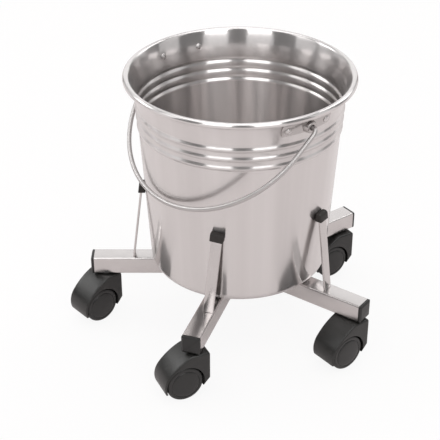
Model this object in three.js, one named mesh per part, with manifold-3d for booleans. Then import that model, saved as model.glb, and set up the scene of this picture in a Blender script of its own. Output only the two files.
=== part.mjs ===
// Kick bucket: a tapered sheet-steel pail with a wire bail, standing in a five-armed star frame
// on swivelling twin-wheel casters. Millimetres, +Z up, floor at Z = 0.
import * as THREE from 'three';
import { mergeVertices } from 'three/addons/utils/BufferGeometryUtils.js';
import Module from 'manifold-3d';

const wasm = await Module();
wasm.setup();

// Shared clearances
const GAP = 0.3;             // between fixed neighbours
const RUN = 0.25;            // radial, between a shaft and its bore

// Star frame
const ARMS = 5;
const ARM_FIRST = 180;       // degrees, azimuth of the first arm
const TUBE = 25;             // square tube, outside
const TUBE_WALL = 1.5;
const ARM_REACH = 200;       // frame axis to the tube's open end
const TUBE_TOP = 93;         // floor to the arms' top face
const HUB_R = 24;
const HUB_WALL = 4;
const PLUG_FACE = 4;         // end plug outside the tube
const PLUG_IN = 6;           // end plug inside the tube
const PLUG_CHAMFER = 2;

// Uprights and their rubber caps
const STRAP_W = 14;
const STRAP_T = 3;
const STRAP_FOOT = 143;      // frame axis to the strap's inner face, at the arm
const STRAP_RISE = 111;      // strap's top above the arm
const CAP_GRIP = 9;          // depth of strap inside the rubber cap
const CAP_SKIN = 2.4;        // rubber around the strap
const ASKEW = 2;             // the upright that stands askew on its arm
const ASKEW_FOOT = 4;        // its foot off the arm's middle
const ASKEW_LEAN = 8;        // its top, further off

// Pail, heights above its own underside
const PAIL_H = 276;
const SHEET = 0.8;
const RIM_R = 150;           // outside of the rolled rim
const CURL_R = 4.2;          // outside radius of the roll
const LIP = 16.15;           // rim's outside, beyond the wall where the flare starts
const WALL_LOW_R = 119;      // the same wall line carried down to the underside
const FLARE_DROP = 38;       // flare's start below the rim's top
const ROLL_START = 157;      // degrees, where the flare runs into the roll
const ROLL_END = -130;       // degrees, where the roll's edge is tucked under
const CORNER_R = 14;
const FOOT_R = 101;          // ring that the pail stands on starts here
const PANEL_RISE = 3;        // middle of the bottom, above the ring
const BEAD_DROPS = [69, 56, 43];   // beads below the rim's top
const BEAD_HALF = 4.6;
const BEAD_OUT = 2.6;
const PAIL_SIDES = 40;
const WALL_TOP_R = RIM_R - LIP;
const FLARE_Z = PAIL_H - FLARE_DROP;
const FACET = WALL_TOP_R * (1 - Math.cos(Math.PI / PAIL_SIDES));   // a flat's depth below the circle

// Ears, rivets and bail
const EAR_AZ = -54;          // degrees, azimuth of the front ear; the other is opposite
const EAR_DROP = 20;         // bail axis below the rim's top
const EAR_L = 76;
const EAR_H = 16;
const EAR_T = 1.5;
const BOSS_BASE_R = 9.4;
const BOSS_TOP_R = 7.2;
const BOSS_OUT = 9;          // boss top above the wall
const RIVET_PITCH = 58;
const RIVET_R = 2.5;
const RIVET_HEAD_R = 4.6;
const RIVET_HEAD = 2.4;
const WIRE_R = 3;
const BAIL_SIDE = 8.3;       // boss top to a leg's centre line
const BAIL_DEPTH = 178;      // ear axis to the wire's middle
const BAIL_LEG = 38;
const BAIL_BEND = 7;
const BAIL_CLEAR = 2.7;      // wire to wall, where the bail hangs at rest

// Casters, each in its own frame: swivel axis at x = 0, wheels trailing towards +x
const STEM_BACK = 15;        // tube's open end to swivel axis
const HEADINGS = [221, 205, 218, 212, 225];
const WHEEL_R = 25;
const WHEEL_SIDES = 18;
const TRAIL = 22;
const WEB = 8;
const WHEEL_IN = WEB / 2 + 0.6;
const WHEEL_OUT = 18.6;      // outer edge of a wheel's side
const WHEEL_DOME = 20.4;     // middle of a wheel's side
const TREAD_T = 4.5;         // tread around the cup behind a wheel's side
const SHOULDER = 3.2;        // chamfer between tread and side
const AXLE_IN = 14;          // depth of a wheel's blind bore, from the caster's middle
const CUP_FLOOR = 3;         // cup's floor, short of the bore's end
const WHEEL_HUB = 4.75;      // wall around a wheel's bore
const HOOD_HALF = 20;
const HOOD_R = 28.5;
const WHEEL_ROOM = 1.2;      // between a wheel and its hood
const HOOD_FRONT = 12.5;
const HOOD_SKIRT = 26;
const HOOD_END = -20;        // degrees below the axle, where the hood stops
const HOOD_JOIN = 40;        // degrees above the axle, where the hood leaves the wheel's round
const HOOD_BROW = 20;        // how far the hood's back carries on straight into its sweep
const HOOD_CUT = 9;          // slant under the hood's front edge
const HOOD_EDGE = 1.5;
const AXLE_R = 3;
const STEM_R = 4.8;
const COLLAR_R = 10;
const COLLAR_T = 1.2;
const STEM_IN = 18;          // depth of the stem in the hood
const STEM_HEAD = 3;         // peened head inside the tube

const THROUGH = 60;          // length of a cutter that passes right through

const STEEL = new THREE.MeshStandardMaterial({ color: 0xcfc6c4, roughness: 0.18, metalness: 1 });
const WIRE = new THREE.MeshStandardMaterial({ color: 0xc4bcba, roughness: 0.22, metalness: 1 });
const SATIN = new THREE.MeshStandardMaterial({ color: 0xc9c2bf, roughness: 0.3, metalness: 1 });
const RUBBER = new THREE.MeshStandardMaterial({ color: 0x17120f, roughness: 0.7, metalness: 0 });
const NYLON = new THREE.MeshStandardMaterial({ color: 0x161412, roughness: 0.42, metalness: 0 });
const TREAD = new THREE.MeshStandardMaterial({ color: 0x12110f, roughness: 0.5, metalness: 0 });
const PIN = new THREE.MeshStandardMaterial({ color: 0x8d8a88, roughness: 0.35, metalness: 1 });

const rad = THREE.MathUtils.degToRad;
const at = (r, z) => new THREE.Vector2(r, z);
const bucket = new THREE.Group();
bucket.name = 'kick_bucket';

// Closed solid from a geometry, without its pole slivers
function solid(geometry) {
  const bare = geometry.clone();
  bare.deleteAttribute('normal');
  bare.deleteAttribute('uv');
  const welded = mergeVertices(bare, 1e-4);
  const index = welded.index.array;
  const tris = [];
  for (let i = 0; i < index.length; i += 3) {
    const [a, b, c] = [index[i], index[i + 1], index[i + 2]];
    if (a !== b && b !== c && c !== a) tris.push(a, b, c);
  }
  return new wasm.Manifold(new wasm.Mesh({
    numProp: 3,
    vertProperties: Float32Array.from(welded.attributes.position.array),
    triVerts: Uint32Array.from(tris),
  }));
}

function shell(manifold) {
  const mesh = manifold.getMesh();
  const geometry = new THREE.BufferGeometry();
  geometry.setAttribute('position', new THREE.BufferAttribute(Float32Array.from(mesh.vertProperties), 3));
  geometry.setIndex(Array.from(mesh.triVerts));
  const flat = geometry.toNonIndexed();
  flat.computeVertexNormals();
  return flat;
}

// Named piece in its parent's frame
function piece(parent, name, geometry, material) {
  const mesh = new THREE.Mesh(geometry, material);
  mesh.name = name;
  parent.add(mesh);
  return mesh;
}

function nest(parent, x = 0, y = 0, z = 0, azimuth = 0) {
  const group = new THREE.Group();
  group.position.set(x, y, z);
  group.rotation.z = rad(azimuth);
  parent.add(group);
  return group;
}

// Turned solid about +Z
function turned(points, sides) {
  return new THREE.LatheGeometry(points, sides).rotateX(Math.PI / 2);
}

// Straight prism of an outline drawn in X and Z, centred across Y
function slab(outline, width, options = {}) {
  const edge = options.bevelEnabled ? 2 * options.bevelThickness : 0;
  const sweep = { depth: width - edge, bevelEnabled: false, ...options };
  const geometry = new THREE.ExtrudeGeometry(outline, sweep);
  return geometry.translate(0, 0, (edge - width) / 2).rotateX(Math.PI / 2);
}

// Extrusion settings for an edge chamfered inside its outline
function chamfer(size) {
  return { bevelEnabled: true, bevelThickness: size, bevelSize: size, bevelOffset: -size, bevelSegments: 1 };
}

function polygon(points) {
  const outline = new THREE.Shape();
  points.forEach(([x, z], i) => (i ? outline.lineTo(x, z) : outline.moveTo(x, z)));
  return outline;
}

// Round bar along +X from x0 to x1
function bar(radius, x0, x1, sides) {
  const geometry = new THREE.CylinderGeometry(radius, radius, x1 - x0, sides);
  return geometry.rotateZ(-Math.PI / 2).translate((x0 + x1) / 2, 0, 0);
}

const aim = (azimuth) => new THREE.Matrix4().makeRotationZ(rad(azimuth));

// Pail: one sheet, drawn as its outer face from the axis to the end of the rolled rim
const PAIL_Z = TUBE_TOP + GAP;
const TAPER = Math.atan((WALL_TOP_R - WALL_LOW_R) / FLARE_Z);
const EAR_Z = PAIL_H - EAR_DROP;
const curlX = RIM_R - CURL_R;
const curlZ = PAIL_H - CURL_R;
const neck = arc(curlX, curlZ, CURL_R - SHEET, ROLL_START, ROLL_END, 6);
const coneR = (z) => WALL_LOW_R + z * Math.tan(TAPER);
const flare = (neck[0].x - coneR(neck[0].y)) / (neck[0].y - FLARE_Z) ** 2;
const wallR = (z) => coneR(z) + flare * Math.max(z - FLARE_Z, 0) ** 2;
const wallLean = (z) => Math.atan(Math.tan(TAPER) + 2 * flare * Math.max(z - FLARE_Z, 0));
const plateFoot = EAR_Z - EAR_H / 2;
const plateTop = EAR_Z + EAR_H / 2;

function arc(cx, cz, radius, from, to, steps) {
  return Array.from({ length: steps + 1 }, (_, i) => {
    const a = rad(from + ((to - from) * i) / steps);
    return at(cx + radius * Math.cos(a), cz + radius * Math.sin(a));
  });
}

function pailFace() {
  const lean = THREE.MathUtils.radToDeg(TAPER);
  const cornerX = wallR(CORNER_R) - CORNER_R / Math.cos(TAPER);
  const face = [at(0, PANEL_RISE), at(FOOT_R - 4, PANEL_RISE), at(FOOT_R, 0)];
  face.push(...arc(cornerX, CORNER_R, CORNER_R, -90, -lean, 3));
  for (const drop of BEAD_DROPS) {
    const z = PAIL_H - drop;
    face.push(at(wallR(z - BEAD_HALF), z - BEAD_HALF));
    face.push(at(wallR(z) + BEAD_OUT * 0.8, z - BEAD_HALF * 0.45));
    face.push(at(wallR(z) + BEAD_OUT * 0.8, z + BEAD_HALF * 0.45));
    face.push(at(wallR(z + BEAD_HALF), z + BEAD_HALF));
  }
  for (const z of [FLARE_Z, plateFoot, EAR_Z, plateTop]) face.push(at(wallR(z), z));
  return [...face, ...neck];
}

// Points moved sideways by the sheet's thickness, towards the left of the direction of travel
function offset(path, distance) {
  return path.map((point, i) => {
    const back = path[Math.max(i - 1, 0)];
    const next = path[Math.min(i + 1, path.length - 1)];
    const a = (i ? point.clone().sub(back) : next.clone().sub(point)).normalize();
    const b = (i < path.length - 1 ? next.clone().sub(point) : point.clone().sub(back)).normalize();
    const side = at(-a.y - b.y, a.x + b.x);
    const grow = (2 * distance) / side.lengthSq();
    return i || point.x > 0 ? point.clone().addScaledVector(side, grow) : at(0, point.y + distance);
  });
}

const pailOuter = pailFace();
const pailInner = offset(pailOuter, SHEET);
let pail = solid(turned([...pailOuter, ...pailInner.reverse()], PAIL_SIDES));
const vessel = nest(bucket, 0, 0, PAIL_Z);

// Ears: a plate bent to the wall, with a hollow boss that takes the end of the bail
const rivetTurn = THREE.MathUtils.radToDeg(RIVET_PITCH / 2 / wallR(EAR_Z));
const bossWall = wallR(EAR_Z);
const bossTop = bossWall + BOSS_OUT;
const pinEnd = bossWall + 2;
const bailHalf = bossTop + BAIL_SIDE;

// Point beside the wall's outer face
const beside = (z, distance) => at(wallR(z) + distance / Math.cos(wallLean(z)), z);

function plateRing() {
  const rows = [plateFoot, EAR_Z, plateTop];
  const near = rows.map((z) => beside(z, GAP));
  const far = rows.map((z) => beside(z, GAP + EAR_T)).reverse();
  return turned([...far, ...near, far[0]].reverse(), PAIL_SIDES);
}

// Everything inside the wall's clearance, at the height of the ears
function withinWall() {
  const rows = [FLARE_Z, plateFoot, EAR_Z, plateTop, neck[0].y];
  const skin = rows.map((z) => beside(z, GAP));
  return turned([at(0, FLARE_Z), ...skin, at(0, neck[0].y)], PAIL_SIDES);
}

function boss(shrink, start, end) {
  const height = end - start;
  const cone = new THREE.CylinderGeometry(BOSS_TOP_R - shrink, BOSS_BASE_R - shrink, height, 12);
  return cone.rotateZ(-Math.PI / 2).translate((start + end) / 2, 0, EAR_Z);
}

// Rivet along +X at the origin of the wall's outer face, with a head on each side of the sheet
function rivet() {
  const under = -SHEET - GAP - FACET;
  const over = GAP + EAR_T + GAP;
  const inner = RIVET_HEAD_R - 0.6;
  return turned([
    at(0, under - RIVET_HEAD * 0.6),
    at(inner * 0.75, under - RIVET_HEAD * 0.5),
    at(inner, under),
    at(RIVET_R, under),
    at(RIVET_R, over),
    at(RIVET_HEAD_R, over),
    at(RIVET_HEAD_R * 0.75, over + RIVET_HEAD * 0.75),
    at(0, over + RIVET_HEAD),
  ], 8).rotateY(Math.PI / 2);
}

function onWall(azimuth) {
  const place = new THREE.Matrix4().makeTranslation(wallR(EAR_Z), 0, EAR_Z);
  return aim(azimuth).multiply(place).multiply(new THREE.Matrix4().makeRotationY(wallLean(EAR_Z)));
}

const rivetHole = () => bar(RIVET_R + GAP, -THROUGH / 10, THROUGH / 10, 12);
const outlineEar = new THREE.Shape();
const earFlat = EAR_L / 2 - EAR_H / 2;
outlineEar.absarc(earFlat, 0, EAR_H / 2, -Math.PI / 2, Math.PI / 2, false);
outlineEar.absarc(-earFlat, 0, EAR_H / 2, Math.PI / 2, (3 * Math.PI) / 2, false);

function earSolid() {
  const sweep = { depth: THROUGH, bevelEnabled: false, curveSegments: 4 };
  const blank = new THREE.ExtrudeGeometry(outlineEar, sweep);
  blank.rotateX(Math.PI / 2).rotateZ(Math.PI / 2).translate(bossWall - THROUGH / 2, 0, EAR_Z);
  const eye = bar(WIRE_R + RUN, bossWall, bossTop + 5, 10).translate(0, 0, EAR_Z);
  const facing = (geometry) => solid(geometry.applyMatrix4(aim(EAR_AZ)));
  return solid(plateRing())
    .intersect(facing(blank))
    .add(facing(boss(0, bossWall, bossTop)))
    .subtract(facing(boss(EAR_T, bossWall - BOSS_OUT, bossTop - EAR_T)))
    .subtract(facing(eye))
    .subtract(solid(withinWall()));
}

let ear = earSolid();
const half = aim(180);
const rivetSpots = [['left', -rivetTurn], ['right', rivetTurn]];
rivetSpots.forEach(([, turn]) => {
  const place = onWall(EAR_AZ + turn);
  ear = ear.subtract(solid(rivetHole().applyMatrix4(place)));
  pail = pail.subtract(solid(rivetHole().applyMatrix4(place)));
  pail = pail.subtract(solid(rivetHole().applyMatrix4(place).applyMatrix4(half)));
});
piece(vessel, 'pail', shell(pail), STEEL);
const earShell = shell(ear);
const rivetShell = rivet();
[['front', 0], ['back', 180]].forEach(([side, azimuth]) => {
  const lug = nest(vessel, 0, 0, 0, azimuth);
  piece(lug, `ear_${side}`, earShell, WIRE);
  rivetSpots.forEach(([end, turn]) => {
    piece(lug, `rivet_${side}_${end}`, rivetShell, WIRE).applyMatrix4(onWall(EAR_AZ + turn));
  });
});

// Bail: pins in the ears, short bends, straight legs and half an ellipse between them
class Bail extends THREE.Curve {
  constructor() {
    super();
    const half = [];
    half.push(at(pinEnd, 0), at(bailHalf - BAIL_BEND, 0));
    for (let i = 1; i < 4; i += 1) {
      const a = (i * Math.PI) / 8;
      half.push(at(bailHalf - BAIL_BEND * (1 - Math.sin(a)), BAIL_BEND * (1 - Math.cos(a))));
    }
    half.push(at(bailHalf, BAIL_BEND));
    for (let i = 0; i < 14; i += 1) {
      const a = (i * Math.PI) / 28;
      half.push(at(bailHalf * Math.cos(a), BAIL_LEG + (BAIL_DEPTH - BAIL_LEG) * Math.sin(a)));
    }
    const other = half.map((p) => at(-p.x, p.y)).reverse();
    this.run = [...half, at(0, BAIL_DEPTH), ...other];
  }

  getPoint(t) {
    const p = this.run[Math.round(t * (this.run.length - 1))];
    return new THREE.Vector3(p.x, 0, -p.y);
  }

  getPointAt(u) {
    return this.getPoint(u);
  }

  getTangentAt(u) {
    const step = 1 / (this.run.length - 1);
    const ahead = this.getPoint(Math.min(u + step, 1));
    return ahead.sub(this.getPoint(Math.max(u - step, 0))).normalize();
  }
}

// Angle from straight down at which the wire's middle hangs just off the wall
function restAngle() {
  let swing = 0;
  for (let i = 0; i < 30; i += 1) {
    const wall = wallR(EAR_Z - BAIL_DEPTH * Math.cos(swing));
    swing = Math.asin((wall + WIRE_R + BAIL_CLEAR) / BAIL_DEPTH);
  }
  return swing;
}

const wire = new Bail();
const section = new THREE.Shape();
section.absarc(0, 0, WIRE_R, 0, 2 * Math.PI, false);
const sweepWire = { steps: wire.run.length - 1, extrudePath: wire, curveSegments: 4 };
const bail = new THREE.ExtrudeGeometry(section, sweepWire);
const hinge = nest(vessel, 0, 0, EAR_Z, EAR_AZ);
piece(hinge, 'bail', bail, WIRE).rotation.x = -restAngle();

// Hub ring of the star
const armMid = TUBE_TOP - TUBE / 2;
const tubeFoot = TUBE_TOP - TUBE;
piece(bucket, 'hub', turned([
  at(HUB_R - HUB_WALL, tubeFoot),
  at(HUB_R, tubeFoot),
  at(HUB_R, TUBE_TOP),
  at(HUB_R - HUB_WALL, TUBE_TOP),
  at(HUB_R - HUB_WALL, tubeFoot),
], 24), SATIN);

// Square tube from the hub to the open end, bored for the caster's stem
const stemHole = STEM_R + GAP;
const stemReach = ARM_REACH - STEM_BACK;
function armTube() {
  const inside = TUBE - 2 * TUBE_WALL;
  const length = ARM_REACH;
  const tube = solid(new THREE.BoxGeometry(length, TUBE, TUBE).translate(length / 2, 0, armMid));
  const core = solid(new THREE.BoxGeometry(length + 20, inside, inside).translate(length / 2, 0, armMid));
  const hub = new THREE.CylinderGeometry(HUB_R + GAP, HUB_R + GAP, TUBE * 2, 24).rotateX(Math.PI / 2);
  const hole = new THREE.CylinderGeometry(stemHole, stemHole, TUBE, 16).rotateX(Math.PI / 2);
  return tube.subtract(core)
    .subtract(solid(hub.translate(0, 0, armMid)))
    .subtract(solid(hole.translate(stemReach, 0, tubeFoot)));
}

// Moulded plug that closes the tube: a chamfered face and a short body inside
function endPlug() {
  const edge = TUBE / 2;
  const face = polygon([[-edge, -edge], [edge, -edge], [edge, edge], [-edge, edge]]);
  const sweep = { depth: PLUG_FACE - PLUG_CHAMFER, ...chamfer(PLUG_CHAMFER) };
  const flange = new THREE.ExtrudeGeometry(face, sweep);
  flange.rotateY(Math.PI / 2).translate(ARM_REACH + GAP, 0, armMid);
  const rear = new THREE.BoxGeometry(THROUGH, TUBE + 1, TUBE + 1);
  rear.translate(ARM_REACH + GAP - THROUGH / 2, 0, armMid);
  const side = TUBE - 2 * TUBE_WALL - 2 * GAP;
  const body = new THREE.BoxGeometry(PLUG_IN + 1, side, side);
  body.translate(ARM_REACH + GAP + 1 - (PLUG_IN + 1) / 2, 0, armMid);
  return solid(flange).subtract(solid(rear)).add(solid(body));
}

// Flat-bar upright that leans in to hold the pail, and the rubber cap on its top
const strapTopZ = TUBE_TOP + STRAP_RISE;
const capTopZ = strapTopZ + CAP_SKIN;
const capFootZ = strapTopZ - CAP_GRIP;
const wallAt = (z) => wallR(z - PAIL_Z) + GAP;
const strapTop = wallAt(strapTopZ) + CAP_SKIN + GAP;
const strapLean = (strapTop - STRAP_FOOT) / STRAP_RISE;
const strapIn = (z) => STRAP_FOOT + (z - TUBE_TOP) * strapLean;

function strap() {
  const foot = TUBE_TOP + GAP;
  return slab(polygon([
    [strapIn(foot), foot],
    [strapIn(foot) + STRAP_T, foot],
    [strapIn(strapTopZ) + STRAP_T, strapTopZ],
    [strapIn(strapTopZ), strapTopZ],
  ]), STRAP_W);
}

function strapCap() {
  const width = STRAP_W + 2 * (CAP_SKIN - 0.6);
  const outer = strapIn(capFootZ) + STRAP_T + CAP_SKIN;
  const block = slab(polygon([
    [wallAt(capFootZ), capFootZ],
    [outer - 1, capFootZ],
    [outer, capFootZ + 1],
    [outer - 1.2, capTopZ - 3],
    [outer - 4, capTopZ],
    [wallAt(capTopZ) + 2, capTopZ],
    [wallAt(capTopZ - 2), capTopZ - 2],
  ]), width);
  const slot = slab(polygon([
    [strapIn(capFootZ - 4) - GAP, capFootZ - 4],
    [strapIn(capFootZ - 4) + STRAP_T + GAP, capFootZ - 4],
    [strapIn(strapTopZ) + STRAP_T + GAP, strapTopZ + GAP],
    [strapIn(strapTopZ) - GAP, strapTopZ + GAP],
  ]), STRAP_W + 2 * GAP);
  return solid(block).subtract(solid(slot));
}

// Caster hood: one moulding with a web between the wheels and a neck for the stem
const collarTop = tubeFoot - GAP;
const hoodTop = collarTop - COLLAR_T - GAP;
const stemFoot = hoodTop - STEM_IN;
function hood() {
  const outline = new THREE.Shape();
  const join = rad(HOOD_JOIN);
  const end = rad(HOOD_END);
  const rim = (a) => [TRAIL + HOOD_R * Math.cos(a), WHEEL_R + HOOD_R * Math.sin(a)];
  const [jx, jz] = rim(join);
  const [ex, ez] = rim(end);
  outline.moveTo(-HOOD_FRONT, HOOD_SKIRT);
  outline.lineTo(HOOD_CUT - HOOD_FRONT, WHEEL_R - HOOD_CUT);
  outline.lineTo(ex, ez);
  outline.absarc(TRAIL, WHEEL_R, HOOD_R, end, join, false);
  const pull = [jx - HOOD_BROW * Math.sin(join), jz + HOOD_BROW * Math.cos(join)];
  outline.quadraticCurveTo(...pull, HOOD_FRONT, hoodTop);
  outline.lineTo(3 - HOOD_FRONT, hoodTop);
  outline.lineTo(-HOOD_FRONT, hoodTop - 4);
  let body = solid(slab(outline, 2 * HOOD_HALF, { ...chamfer(HOOD_EDGE), curveSegments: 5 }));
  const room = WHEEL_R + WHEEL_ROOM;
  const depth = HOOD_HALF - WEB / 2 + 10;
  for (const side of [-1, 1]) {
    const bay = new THREE.CylinderGeometry(room, room, depth, 24);
    bay.translate(TRAIL, side * (WEB / 2 + depth / 2), WHEEL_R);
    body = body.subtract(solid(bay));
  }
  const pinHole = new THREE.CylinderGeometry(AXLE_R + RUN, AXLE_R + RUN, WEB * 3, 12);
  pinHole.translate(TRAIL, 0, WHEEL_R);
  const bore = new THREE.CylinderGeometry(STEM_R + RUN, STEM_R + RUN, THROUGH, 16);
  bore.rotateX(Math.PI / 2).translate(0, 0, stemFoot - GAP + THROUGH / 2);
  return body.subtract(solid(pinHole)).subtract(solid(bore));
}

// Fixed kingpin: peened head inside the tube, collar under it, pin down into the hood
function stem() {
  const wallTop = tubeFoot + TUBE_WALL + GAP;
  return turned([
    at(0, stemFoot),
    at(STEM_R, stemFoot),
    at(STEM_R, collarTop - COLLAR_T),
    at(COLLAR_R, collarTop - COLLAR_T),
    at(COLLAR_R, collarTop),
    at(STEM_R, collarTop),
    at(STEM_R, wallTop),
    at(STEM_R + 2.4, wallTop),
    at(STEM_R + 1.2, wallTop + STEM_HEAD),
    at(0, wallTop + STEM_HEAD),
  ], 8);
}

// Wheel about +Y: blind bore, cup behind the side, tread and domed side
const wheelBore = AXLE_R + RUN;
function wheel() {
  const full = WHEEL_R / Math.cos(Math.PI / WHEEL_SIDES);
  const hubR = wheelBore + WHEEL_HUB;
  const cupR = WHEEL_R - TREAD_T;
  const cup = AXLE_IN - CUP_FLOOR;
  return new THREE.LatheGeometry([
    at(0, AXLE_IN),
    at(wheelBore, AXLE_IN),
    at(wheelBore, WHEEL_IN),
    at(hubR, WHEEL_IN),
    at(hubR, cup),
    at(cupR, cup),
    at(cupR, WHEEL_IN),
    at(full, WHEEL_IN),
    at(full, WHEEL_OUT - SHOULDER),
    at(WHEEL_R - SHOULDER, WHEEL_OUT),
    at(0, WHEEL_DOME),
  ], WHEEL_SIDES, Math.PI / WHEEL_SIDES);
}

// Sideways lean of the one upright that stands askew
function askew(geometry) {
  const lean = ASKEW_LEAN / STRAP_RISE;
  const shear = new THREE.Matrix4().makeShear(0, 0, 0, 0, 0, lean);
  return geometry.clone().applyMatrix4(shear).translate(0, ASKEW_FOOT - lean * TUBE_TOP, 0);
}

const armShell = shell(armTube());
const plugShell = shell(endPlug());
const strapShape = strap();
const capShell = shell(strapCap());
const stemShape = stem();
const hoodShell = shell(hood());
const wheelShape = wheel();
const axleHalf = AXLE_IN - 2 * GAP;
const axleShape = bar(AXLE_R, -axleHalf, axleHalf, 12).rotateZ(Math.PI / 2);

for (let i = 0; i < ARMS; i += 1) {
  const n = i + 1;
  const azimuth = ARM_FIRST + (i * 360) / ARMS;
  const arm = nest(bucket, 0, 0, 0, azimuth);
  piece(arm, `arm_${n}`, armShell, SATIN);
  piece(arm, `end_plug_${n}`, plugShell, NYLON);
  piece(arm, `strap_${n}`, n === ASKEW ? askew(strapShape) : strapShape, SATIN);
  piece(arm, `strap_cap_${n}`, n === ASKEW ? askew(capShell) : capShell, RUBBER);
  const caster = nest(arm, stemReach, 0, 0, HEADINGS[i] - azimuth);
  piece(caster, `stem_${n}`, stemShape, PIN);
  piece(caster, `hood_${n}`, hoodShell, NYLON);
  const axle = nest(caster, TRAIL, 0, WHEEL_R);
  piece(axle, `axle_${n}`, axleShape, PIN);
  piece(axle, `wheel_${n}_left`, wheelShape, TREAD);
  piece(axle, `wheel_${n}_right`, wheelShape, TREAD).rotation.z = Math.PI;
}

// Row origin: middle of the footprint, on the floor
const middle = new THREE.Box3().setFromObject(bucket, true).getCenter(new THREE.Vector3());
bucket.children.forEach((child) => child.position.sub(middle.setZ(0)));

export default bucket;
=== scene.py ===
"""Kick bucket: a polished pail with a wire bail in a five-armed caster frame."""
import math

import bpy
from mathutils import Matrix, Vector


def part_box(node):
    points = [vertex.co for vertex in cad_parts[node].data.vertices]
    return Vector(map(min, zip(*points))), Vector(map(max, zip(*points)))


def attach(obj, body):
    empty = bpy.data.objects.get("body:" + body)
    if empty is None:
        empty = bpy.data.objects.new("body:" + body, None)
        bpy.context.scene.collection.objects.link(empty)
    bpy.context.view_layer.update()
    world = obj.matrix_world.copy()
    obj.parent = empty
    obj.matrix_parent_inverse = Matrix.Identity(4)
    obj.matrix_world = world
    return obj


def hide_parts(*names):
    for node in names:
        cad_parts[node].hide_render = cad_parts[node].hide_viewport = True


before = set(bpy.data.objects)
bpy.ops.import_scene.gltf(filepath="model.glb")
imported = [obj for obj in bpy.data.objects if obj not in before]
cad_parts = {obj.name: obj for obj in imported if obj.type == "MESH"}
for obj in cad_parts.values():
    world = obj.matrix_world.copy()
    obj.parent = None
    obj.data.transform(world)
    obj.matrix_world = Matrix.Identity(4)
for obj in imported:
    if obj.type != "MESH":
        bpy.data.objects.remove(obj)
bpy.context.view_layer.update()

bl_info = {
    "name": "Kick Bucket",
    "version": (1, 0, 0),
    "blender": (4, 5, 0),
    "location": "3D View > Sidebar > Kick Bucket",
    "description": "Builds a steel pail in a rolling star frame",
    "category": "Add Mesh",
}

MM = 0.001
GAP = 0.3 * MM  # between fixed neighbours
ARMS = 5
ARM_FIRST = 180.0  # direction of the first arm, in degrees
HEADINGS = (221.0, 205.0, 218.0, 212.0, 225.0)  # direction in which each caster trails, in degrees
ASKEW = 2  # the upright that stands askew on its arm
BEADS = (207, 220, 233)  # middles of the beads above the pail's underside, in millimetres
TUBE_WALL = 1.5 * MM
TUBE_CORNER = 2.4 * MM
COLLAR = 1.2 * MM  # thickness of a stem's collar, between tube and hood

WELD = 0.001 * MM  # points closer than this are one point
ALONG, FLAT = 0.9, 0.95  # an edge runs along an axis, or a face looks along it, from this cosine

WHITE = (1.0, 1.0, 1.0)
PAPER = (0.84, 0.79, 0.785)  # floor, as it takes light and shadow
PAPER_GLEAM = (0.86, 0.812, 0.806)  # floor, as steel shows it
# Painted shadow: the floor's gleam, as steel and glass see it, is dimmed near the pail's axis, standing in
# for the shadow under the pail in reflections.
SHADE_NEAR, SHADE_FAR = 0.12, 0.27  # the gleam fades in between these distances from the pail's axis
GLEAM_NEAR, GLEAM_FAR = 0.2, 0.8
FLOOR_SIZE, FLOOR_GLOW = 40, 0.9
AIR_LIGHT, AIR_SEEN, AIR_GLEAM = 0.15, 0.8, 0.03  # air on the part, more to the eye, more in steel

# Tall soft boxes in a ring: direction in degrees from the front, width, brightness of the upper part.
BOXES = (
    (-128, 1.0, 0.75), (-76, 1.0, 1.5), (-22, 1.2, 2.5), (27, 1.1, 2.9), (82, 1.0, 0.7), (128, 1.0, 2.5))
BOX_RING, BOX_FOOT, BOX_SPLIT, BOX_TOP = 2.2, 0.05, 1.25, 2.7
BOX_DIM = 0.48  # the lower part is no brighter than this
BOX_AIM = 0.6  # height that the boxes face
# Single soft boxes: name, place, point that it faces, width, height, watts.
LAMPS = (
    ("key_box", (-2.0, 0.6, 1.4), (0, 0, 0.1), 1.0, 0.9, 9),
    ("back_box", (0, 3.0, 1.6), (0, 0, 0.4), 4.0, 2.6, 32),
    ("top_box", (0, 0.2, 3.2), (0, 0, 0.4), 3.4, 3.4, 63),
)

EYE_SIDE, EYE_BACK, EYE_HEIGHT = -0.0256, -1.427154, 1.02254  # camera, from the pail's axis at the floor
EYE_TILT = 0.55  # radians below the level
FOCAL, PICTURE, SENSOR = 1225.754, 440, 36.0  # focal length and picture width in pixels, sensor in mm


def middle_of(node):
    low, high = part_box(node)
    return (Vector(low) + Vector(high)) / 2


PAIL_AXIS = middle_of("pail").to_2d()
AXIS_3D = PAIL_AXIS.to_3d()


def length(name, millimetres, description):
    return bpy.props.FloatProperty(
        name=name, description=description, default=millimetres * MM, unit="LENGTH", min=0.0)


def angle(name, degrees, description):
    return bpy.props.FloatProperty(
        name=name, description=description, default=math.radians(degrees), unit="ROTATION")


def colour(name, rgb, description):
    return bpy.props.FloatVectorProperty(
        name=name, description=description, default=rgb, size=3, subtype="COLOR", min=0.0, max=1.0)


def factor(name, value, description):
    return bpy.props.FloatProperty(
        name=name, description=description, default=value, subtype="FACTOR", min=0.0, max=1.0)


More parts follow.
